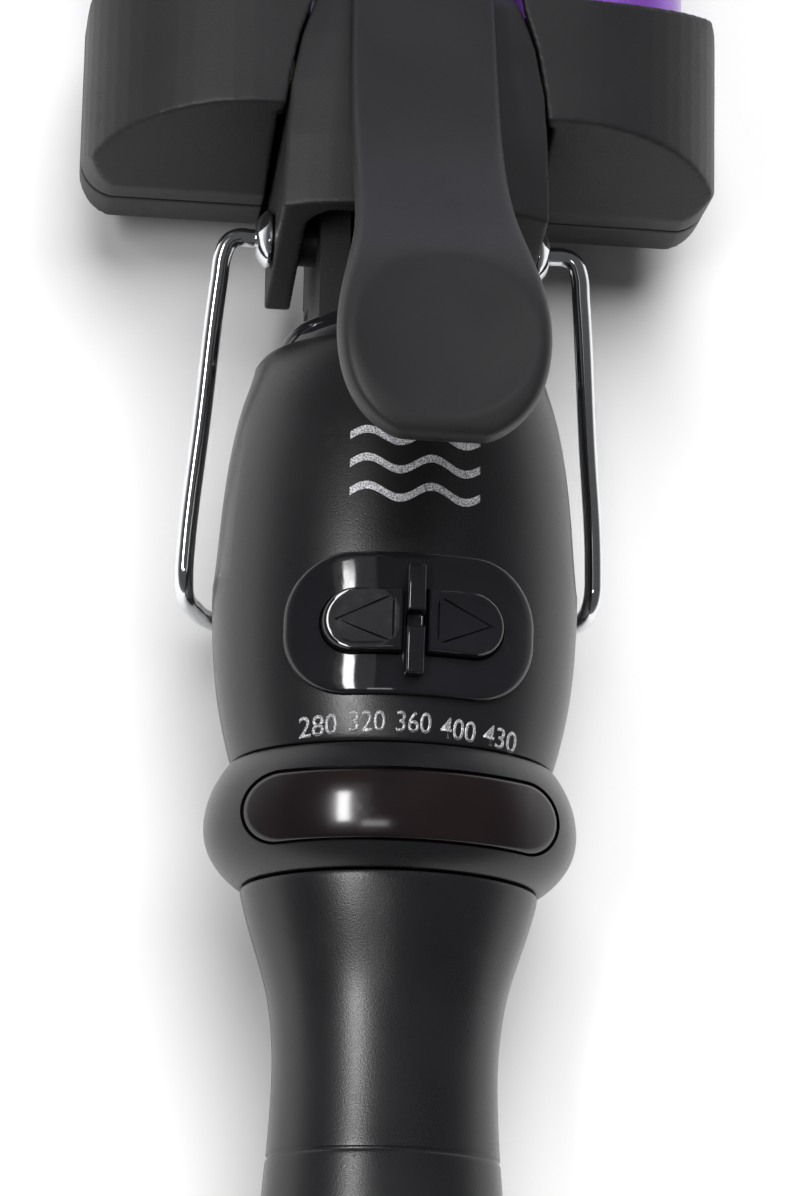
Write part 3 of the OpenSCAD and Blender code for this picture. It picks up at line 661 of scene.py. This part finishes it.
def kept_side(source, name, point, direction):
    """Copy of a piece, cut by a plane through the point; the side that it faces is kept."""
    part = source.copy()
    part.data = source.data.copy()
    part.name = part.data.name = name
    bpy.context.collection.objects.link(part)
    open_up(part)
    bpy.ops.mesh.select_all(action="SELECT")
    bpy.ops.mesh.bisect(plane_co=point, plane_no=direction, clear_inner=True, use_fill=True)
    close_up(part)
    return part


channel = 0.019
hug = 0.0004
barrel_top = 0.0128
hood_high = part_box("clamp_hood")[1]
hood_stations = [(0.198, 0.0183, 0.0169, -0.01), (0.212, 0.0183, 0.0173, -0.0104),
                 (0.22, 0.0181, 0.0175, -0.011), (0.228, 0.0175, 0.0174, -0.012),
                 (0.235, 0.0162, 0.017, -0.0126), (0.241, 0.0143, 0.0162, -0.0128),
                 (0.2455, 0.0134, 0.015, -0.0129), (hood_high.y, 0.0129, 0.0133, -0.0129)]
upper = kept_side(block, "base_upper", (0, 0, seam + seam_gap), (0, 0, 1))
bpy.ops.object.select_all(action="DESELECT")
y, half, _, _ = hood_stations[0]
bpy.ops.mesh.primitive_plane_add(size=2, location=(0, y, 0.025), rotation=(math.radians(90), 0, 0))
gap = bpy.context.object
gap.scale = (half + hug, 0.0155, 1)
settled(gap)
open_up(gap)
bpy.ops.mesh.select_all(action="SELECT")
for next_y, next_half, _, _ in hood_stations[1:]:
    bpy.ops.mesh.extrude_region_move(TRANSFORM_OT_translate={"value": (0, next_y - y, 0)})
    bpy.ops.transform.resize(value=((next_half + hug) / (half + hug), 1, 1),
                             center_override=(0, next_y, 0))
    y, half = next_y, next_half
close_up(gap)
cut_out(upper, gap)
cut_out(upper, block_of((2 * channel, 0.08, 0.04), (0, middle_y, barrel_top - 0.02)))
for side, name in ((-1, "base_cover_left"), (1, "base_cover_right")):
    cover = kept_side(upper, name + "_shell", (side * 0.005, 0, 0), (side, 0, 0))
    melted(cover, 0.0004, 3)
    paint(cover, charcoal)
    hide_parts(name)
    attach(cover, "handle")
tray = kept_side(block, "base_tray", (0, 0, seam - seam_gap), (0, 0, -1))
cut_out(tray, block_of((2 * channel, 0.08, 0.04), (0, middle_y, 0.0045)))
for x in (-0.0375, 0.0375):
    bpy.ops.object.select_all(action="DESELECT")
    bpy.ops.mesh.primitive_cylinder_add(vertices=32, radius=0.0029, depth=0.009,
                                        location=(x, 0.2248, bottom))
    cut_out(tray, bpy.context.object)
melted(tray, 0.0004, 3)
paint(tray, charcoal)
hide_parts("base_cover_bottom")
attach(tray, "handle")
bpy.data.objects.remove(upper)
bpy.data.objects.remove(block)

# ---- Clamp hood
# The moulding that holds the third barrel: two ears hang over the hinge at its rear, and it runs
# forward through the base's channel. Matte charcoal, with a hollow over the neck.
hinge_y = 0.21
hood_half = hood_high.x
outline_z = 0.0035
outline_half = 0.0135
bpy.ops.object.select_all(action="DESELECT")
bpy.ops.mesh.primitive_plane_add(size=2, location=(0, hood_stations[0][0], outline_z),
                                 rotation=(math.radians(90), 0, 0))
hood = bpy.context.object
hood.name = hood.data.name = "clamp_hood_moulding"
hood.scale = (hood_half, outline_half, 1)
settled(hood)
open_up(hood)
bpy.ops.mesh.select_all(action="SELECT")
bpy.ops.mesh.subdivide(number_cuts=11)
pick(hood, "face", lambda p: True)
bpy.ops.mesh.delete(type="ONLY_FACE")
pick(hood, "vert", lambda p: abs(p.x) < hood_half * 0.99 and -0.0099 < p.z < 0.0169)
bpy.ops.mesh.delete(type="VERT")
crown = 0.0022
for corner in bmesh.from_edit_mesh(hood.data).verts:
    if corner.co.z > outline_z:
        corner.co.z -= (crown * (abs(corner.co.x) / hood_half) ** 3
                        * (corner.co.z - outline_z) / outline_half)
bpy.ops.mesh.select_all(action="SELECT")
for (y, half, high, low), (ny, nhalf, nhigh, nlow) in zip(hood_stations, hood_stations[1:]):
    mid, nmid = (high + low) / 2, (nhigh + nlow) / 2
    bpy.ops.mesh.extrude_region_move(TRANSFORM_OT_translate={"value": (0, ny - y, nmid - mid)})
    bpy.ops.transform.resize(value=(nhalf / half, 1, (nhigh - nlow) / (high - low)),
                             center_override=(0, ny, nmid))
round_from = 0.243
for corner in bmesh.from_edit_mesh(hood.data).verts:
    rounding = min(max((corner.co.y - round_from) / (hood_high.y - round_from), 0), 1)
    around = Vector((corner.co.x, 0, corner.co.z)).normalized() * 0.0131
    corner.co.x += rounding * (around.x - corner.co.x)
    corner.co.z += rounding * (around.z - corner.co.z)
pick(hood, "vert", lambda p: p.y < 0.1981)
bpy.ops.mesh.fill()
pick(hood, "vert", lambda p: p.y > hood_high.y - 0.0001)
bpy.ops.mesh.fill()
close_up(hood)
open_up(hood)
bpy.ops.mesh.select_all(action="SELECT")
bpy.ops.mesh.bisect(plane_co=(0, 0.2065, 0.0035), plane_no=(0, 0.968, -0.251),
                    clear_inner=True, use_fill=True)
close_up(hood)
hollow = block_of((0.0294, 0.028, 0.0446), (0, 0.205, -0.0077))
open_up(hollow)
pick(hollow, "edge", lambda p: p.z > 0.014 and abs(p.x) > 0.01)
bpy.ops.mesh.bevel(offset=0.0045, segments=5, profile=0.5, affect="EDGES")
close_up(hollow)
cut_out(hood, hollow)
for y, wide, long in ((0.2205, 0.0252, 0.006), (0.229, 0.022, 0.02)):
    cut_out(hood, block_of((wide, long, 0.04), (0, y, -0.0095)))
pitch = 0.0265
for side in (-1, 1):
    bpy.ops.object.select_all(action="DESELECT")
    bpy.ops.mesh.primitive_cylinder_add(vertices=96, radius=0.0133, depth=0.04,
                                        location=(side * pitch, 0.2468, 0),
                                        rotation=(math.radians(90), 0, 0))
    clearance = bpy.context.object
    settled(clearance)
    open_up(clearance)
    pick(clearance, "vert", lambda p: p.z < -0.0001)
    bpy.ops.transform.translate(value=(0, 0, -0.02))
    close_up(clearance)
    cut_out(hood, clearance)
bpy.ops.object.select_all(action="DESELECT")
bpy.ops.mesh.primitive_cylinder_add(vertices=48, radius=0.0036, depth=0.06, location=(0, hinge_y, 0),
                                    rotation=(0, math.radians(90), 0))
pin_hole = bpy.context.object
settled(pin_hole)
cut_out(hood, pin_hole)
melted(hood, 0.00035, 4)
paint(hood, charcoal)
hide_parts("clamp_hood")
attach(hood, "clamp")

# ---- Thumb lever
# One thick moulding screwed to the hood's top. It sweeps up and back over the body and ends in a
# broad dished pad for the thumb, with every edge well rounded.
lever_stations = [(0.24545, 0.0159, 0.0096, 0.0015), (0.24, 0.0178, 0.01, 0.0022),
                  (0.23, 0.0196, 0.0102, 0.0026), (0.22, 0.0226, 0.0103, 0.0028),
                  (0.21, 0.0284, 0.0103, 0.0029),
                  (0.2012, 0.0364, 0.0105, 0.0029), (0.1946, 0.0426, 0.0117, 0.003),
                  (0.1872, 0.0466, 0.0136, 0.0031), (0.1804, 0.0479, 0.0142, 0.0031),
                  (0.1737, 0.0483, 0.0129, 0.003), (0.1693, 0.0482, 0.0096, 0.0026),
                  (0.1672, 0.048, 0.0055, 0.0018)]
bpy.ops.object.select_all(action="DESELECT")
bpy.ops.mesh.primitive_plane_add(size=2, location=(0, lever_stations[0][0], lever_stations[0][1]),
                                 rotation=(math.radians(90), 0, 0))
lever = bpy.context.object
lever.name = lever.data.name = "thumb_lever_moulding"
lever.scale = (lever_stations[0][2], lever_stations[0][3], 1)
settled(lever)
open_up(lever)
bpy.ops.mesh.select_all(action="SELECT")
bpy.ops.mesh.bevel(offset=0.0011, segments=2, profile=0.5, affect="VERTICES")
pick(lever, "edge", lambda p: abs(p.x) < 0.0001)
bpy.ops.mesh.subdivide(number_cuts=5)
bpy.ops.mesh.select_mode(type="VERT")
bpy.ops.mesh.select_all(action="SELECT")
for (y, z, half, thick), (ny, nz, nhalf, nthick) in zip(lever_stations, lever_stations[1:]):
    bpy.ops.mesh.extrude_region_move(TRANSFORM_OT_translate={"value": (0, ny - y, nz - z)})
    bpy.ops.transform.resize(value=(nhalf / half, 1, nthick / thick), center_override=(0, ny, nz))
close_up(lever)
rounder(lever, 3)
dish_y = 0.1815
dish_r = 0.0118
dish_depth = 0.0021
for vertex in lever.data.vertices:
    reach = 1 - (vertex.co.x / dish_r) ** 2 - ((vertex.co.y - dish_y) / dish_r) ** 2
    if vertex.co.z > 0.047 and reach > 0:
        vertex.co.z -= dish_depth * reach ** 0.8
modified(lever, "SMOOTH", factor=0.5, iterations=6)
paint(lever, charcoal)
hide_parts("thumb_lever")
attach(lever, "clamp")

# ---- Wire stand and its bosses
# Bent from one length of chromed spring wire. Its ends turn in the hinge tube, each through a
# domed chrome boss, and its arms fold against the body's sides.
chrome, shader, place = finish_named("wire_chrome", Metallic=1.0)
haze = grain(place, 0.003, 4.0, 0.6)
scratch = stepped(grain(place, 0.0007, 3.0), 0.62, 0.7)
dress(shader, place, between(haze, (0.68, 0.69, 0.71), (0.86, 0.87, 0.88)),
      0.04 + haze * 0.06 + scratch * 0.08, haze, 0.0001, 0.08)
wire_r = 0.0013
half_route = [(0.0105, 0, 0), (0.0175, 0, 0), (0.0213, 0, 0), (0.0229, 0, 0),
              (0.0242, -0.0006, -0.0001), (0.025, -0.0022, -0.0004),
              (0.0255, -0.006, -0.001), (0.027, -0.025, -0.0036),
              (0.0285, -0.044, -0.006), (0.0285, -0.0476, -0.007), (0.0281, -0.0494, -0.0094),
              (0.0267, -0.0498, -0.014), (0.0238, -0.05, -0.02), (0.0198, -0.05, -0.0234),
              (0.0143, -0.05, -0.0242), (0.004, -0.05, -0.0242)]
route = half_route + [(-x, y, z) for x, y, z in reversed(half_route)]
bpy.ops.object.select_all(action="DESELECT")
bpy.ops.curve.primitive_bezier_curve_add()
wire = bpy.context.object
wire.name = wire.data.name = "wire_stand"
spline = wire.data.splines[0]
spline.bezier_points.add(len(route) - 2)
for knot, (x, y, z) in zip(spline.bezier_points, route):
    knot.co = (x, hinge_y + y, z)
    knot.handle_left_type = knot.handle_right_type = "AUTO"
wire.data.bevel_depth = wire_r
wire.data.bevel_resolution = 6
wire.data.resolution_u = 10
wire.data.use_fill_caps = True
bpy.ops.object.convert(target="MESH")
wire = bpy.context.object
open_up(wire)
close_up(wire, 50)
paint(wire, chrome)
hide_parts("stand_wire")
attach(wire, "stand")
for side, node in ((-1, "hinge_cap_left"), (1, "hinge_cap_right")):
    boss = drawn_out(node.replace("hinge_cap", "boss"), [
        (0.01845, 0.0037), (0.0186, 0.0041), (0.0191, 0.0041), (0.0195, 0.0038), (0.0201, 0.0032),
        (0.0206, 0.0024), (0.0208, 0.0015), (0.0209, 0.0004)], 1, 40, filled=True)
    bpy.ops.mesh.select_all(action="SELECT")
    bpy.ops.transform.rotate(value=math.radians(90), orient_axis="Z", center_override=(0, 0, 0))
    close_up(boss)
    flip = 1 if min(v.co.x for v in boss.data.vertices) > 0 else -1
    boss.scale = (side * flip, 1, 1)
    boss.location = (0, hinge_y, 0)
    settled(boss)
    open_up(boss)
    close_up(boss, 50)
    rounder(boss, 1)
    paint(boss, chrome)
    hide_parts(node)
    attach(boss, "handle")

# ---- Barrels and their tips
# Aluminium tubes with a violet ceramic coat that shimmers slightly, closed at the front by black
# heat-proof caps. Inside the base the tubes are painted near black as painted shade.
violet, shader, place = finish_named("violet_ceramic_coat", Metallic=0.55, Coat_Weight=0.4,
                                     Coat_Roughness=0.12)
shimmer = grain(place, 0.00025, 2.0)
wash = grain(place, 0.02, 3.0)
coat = between(shimmer * 0.5 + wash * 0.5, (0.10, 0.028, 0.24), (0.24, 0.09, 0.48))
along = place.node("ShaderNodeSeparateXYZ", {}, {0: place}, 1)
# Painted shade: behind the point where the base's front slopes, the barrel colour turns near black for
# the shade inside the base.
painted_shade_start = front - front_slope
outside_painted_shade = stepped(along, painted_shade_start - 0.0005, painted_shade_start)
coat = outside_painted_shade.node("ShaderNodeMix", {"data_type": "RGBA"}, {
    0: outside_painted_shade, 6: (0.006, 0.006, 0.006, 1), 7: coat}, 2)
dress(shader, place, coat, 0.24 + shimmer * 0.12 + (wash - 0.5) * 0.1, shimmer, 0.00004, 0.25)
heatproof = moulded("heatproof_black", (0.009, 0.009, 0.01), (0.018, 0.018, 0.02),
                    0.42, 0.00025, 0.3)
for name, side, body_name in (("left", -1, "handle"), ("center", 0, "clamp"),
                              ("right", 1, "handle")):
    low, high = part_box("barrel_" + name)
    barrel_r = (high.z - low.z) / 2
    barrel = drawn_out("barrel_tube_" + name, [
        (low.y, barrel_r - 0.0002), (low.y + 0.0002, barrel_r), (low.y + 0.0006, barrel_r),
        (low.y + 0.04, barrel_r), (low.y + 0.08, barrel_r), (high.y - 0.0006, barrel_r),
        (high.y - 0.0002, barrel_r), (high.y, barrel_r - 0.0003), (high.y, barrel_r - 0.001),
        (low.y, barrel_r - 0.001), (low.y, barrel_r - 0.0002)], 1, 96, (side * pitch, 0))
    close_up(barrel, 50)
    paint(barrel, violet)
    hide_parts("barrel_" + name)
    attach(barrel, body_name)
    tip = drawn_out("barrel_tip_" + name, [
        (high.y - 0.005, 0.0112), (high.y + 0.00005, 0.0117), (high.y + 0.00005, barrel_r - 0.0003),
        (high.y + 0.0003, barrel_r), (high.y + 0.0012, barrel_r), (high.y + 0.002, 0.0124),
        (high.y + 0.0029, 0.0119), (high.y + 0.0034, 0.0112), (high.y + 0.004, 0.0101),
        (high.y + 0.0037, 0.0093), (high.y + 0.0041, 0.0085), (high.y + 0.0048, 0.007),
        (high.y + 0.0052, 0.0035), (high.y + 0.0053, 0.0008)], 1, 64, (side * pitch, 0), True)
    close_up(tip, 40)
    rounder(tip, 1)
    paint(tip, heatproof)
    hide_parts("tip_cap_" + name)
    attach(tip, body_name)

# ---- Rear cap and cord swivel
# The cap closes the grip's rear, and the soft swivel turns in it and lets the lead in.
soft_black = moulded("soft_black_rubber", (0.012, 0.012, 0.012), (0.024, 0.024, 0.024), 0.62, 0.0003, 0.4)
paint(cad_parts["rear_cap"], satin_black)
paint(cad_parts["cord_swivel"], soft_black)

# ---- Inner works
# Steel, brass, board and heater parts that only show through the openings or with the case apart.


def bare_metal(name, dark, light, rough, spread, mark_size, detail=4.0, strength=0.2):
    """Bare metal whose colour, sheen and relief all follow its drawing or tarnish marks."""
    made, shader, place = finish_named(name, Metallic=1.0)
    marks = grain(place, mark_size, detail)
    dress(shader, place, between(marks, dark, light), rough + marks * spread, marks,
          0.00008, strength)
    return made


steel = bare_metal("screw_steel", (0.42, 0.42, 0.43), (0.62, 0.62, 0.63), 0.28, 0.2, 0.0006)
blued = bare_metal("blued_steel", (0.018, 0.018, 0.02), (0.045, 0.045, 0.05), 0.4, 0.2, 0.0012)
brass = bare_metal("contact_brass", (0.46, 0.3, 0.09), (0.72, 0.52, 0.2), 0.25, 0.25, 0.002,
                   strength=0.15)
aluminium = bare_metal("spreader_aluminium", (0.6, 0.6, 0.61), (0.78, 0.78, 0.79), 0.32, 0.18,
                       0.0009, detail=3.0)
board_green = moulded("board_green", (0.006, 0.05, 0.02), (0.014, 0.1, 0.04), 0.35, 0.0006, 0.15)
lamp_red = moulded("led_red", (0.3, 0.008, 0.008), (0.5, 0.02, 0.015), 0.15, 0.0006, 0.05)
film_brown = moulded("capacitor_film", (0.22, 0.12, 0.03), (0.34, 0.2, 0.06), 0.3, 0.0008, 0.1)
tan_board = moulded("insulator_tan", (0.32, 0.24, 0.15), (0.46, 0.37, 0.25), 0.6, 0.0004, 0.4)
ceramic = moulded("heater_ceramic", (0.45, 0.44, 0.42), (0.6, 0.59, 0.57), 0.55, 0.0005, 0.3)
for finish, nodes in (
        (steel, ("case_screws", "neck_screws", "base_screws", "lever_screws")),
        (blued, ("hinge_tube", "torsion_spring", "base_bracket")),
        (brass, ("slip_contacts",)),
        (aluminium, ("spreader_left", "spreader_right", "spreader_center")),
        (board_green, ("circuit_board",)),
        (lamp_red, ("indicator_leds",)),
        (film_brown, ("filter_capacitor",)),
        (tan_board, ("barrel_holder_left", "barrel_holder_right", "barrel_holder_center")),
        (ceramic, ("heater_left", "heater_right", "heater_center", "thermal_fuse")),
        (soft_black, ("tact_switches", "triac", "temperature_sensor"))):
    for node in nodes:
        paint(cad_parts[node], finish)

# ---- Floor and light
# A plain pale floor lit by a high, wide sun. A strip lamp with a halo round it, over the left side,
# and a small window behind give the polished plastic its streaks; the surround glows low in front.
bpy.ops.object.select_all(action="DESELECT")
bpy.ops.mesh.primitive_plane_add(size=24, location=(0, 0.2, cad_box[0][2] - 0.0003))
floor = bpy.context.object
floor.name = "studio_floor"
pale, shader, place = finish_named("pale_floor")
dress(shader, place, between(grain(place, 0.5), (0.54, 0.54, 0.54), (0.56, 0.56, 0.56)),
      0.8 + grain(place, 0.05) * 0.1)
paint(floor, pale)

surround = bpy.data.worlds.new("studio")
surround.use_nodes = True
sky = surround.node_tree
outlook = Tone(sky, sky.nodes.new("ShaderNodeTexCoord").outputs["Generated"])
ahead = outlook.node("ShaderNodeSeparateXYZ", {}, {0: outlook}, 1)
height = outlook.node("ShaderNodeSeparateXYZ", {}, {0: outlook}, 2)
low_glow = 1 - stepped(height, 0.02, 0.5)
from_front = stepped(ahead, -0.5, 0.3)
glow = low_glow * low_glow * (from_front * 0.85 + 0.15) * 0.82 + 0.09
sky.links.new(glow.socket, sky.nodes["Background"].inputs["Strength"])
sky.nodes["Background"].inputs["Color"].default_value = (0.97, 0.98, 1.0, 1)
bpy.context.scene.world = surround
bpy.context.scene.view_settings.view_transform = "Standard"


lit_point = Vector((0, 0.15, 0.01))


def lamp(name, direction, distance, width, length, power):
    """Rectangular light that faces the body, its length along the handle."""
    towards = Vector(direction).normalized()
    along = (Vector((0, 1, 0)) - towards * towards.y).normalized()
    bpy.ops.object.select_all(action="DESELECT")
    bpy.ops.object.light_add(type="AREA")
    light = bpy.context.object
    light.name = name
    light.data.shape = "RECTANGLE"
    light.data.size = width
    light.data.size_y = length
    light.data.energy = power
    light.matrix_world = Matrix.Translation(lit_point + towards * distance) @ Matrix(
        (along.cross(towards), along, towards)).transposed().to_4x4()


lamp("strip", (-0.49, -0.02, 0.87), 1.0, 0.12, 0.55, 5.5)
lamp("small_window", (-0.19, -0.33, 0.92), 1.0, 0.24, 0.1, 0.35)
lamp("halo", (-0.45, 0, 0.9), 1.05, 0.45, 0.9, 0.5)
bpy.ops.object.light_add(type="SUN")
overhead = bpy.context.object
overhead.name = "overhead"
overhead.data.energy = 6.3
overhead.data.angle = math.radians(50)
overhead.visible_glossy = False
overhead.matrix_world = Vector((0.1, 0.55, 0.9)).to_track_quat("Z", "Y").to_matrix().to_4x4()
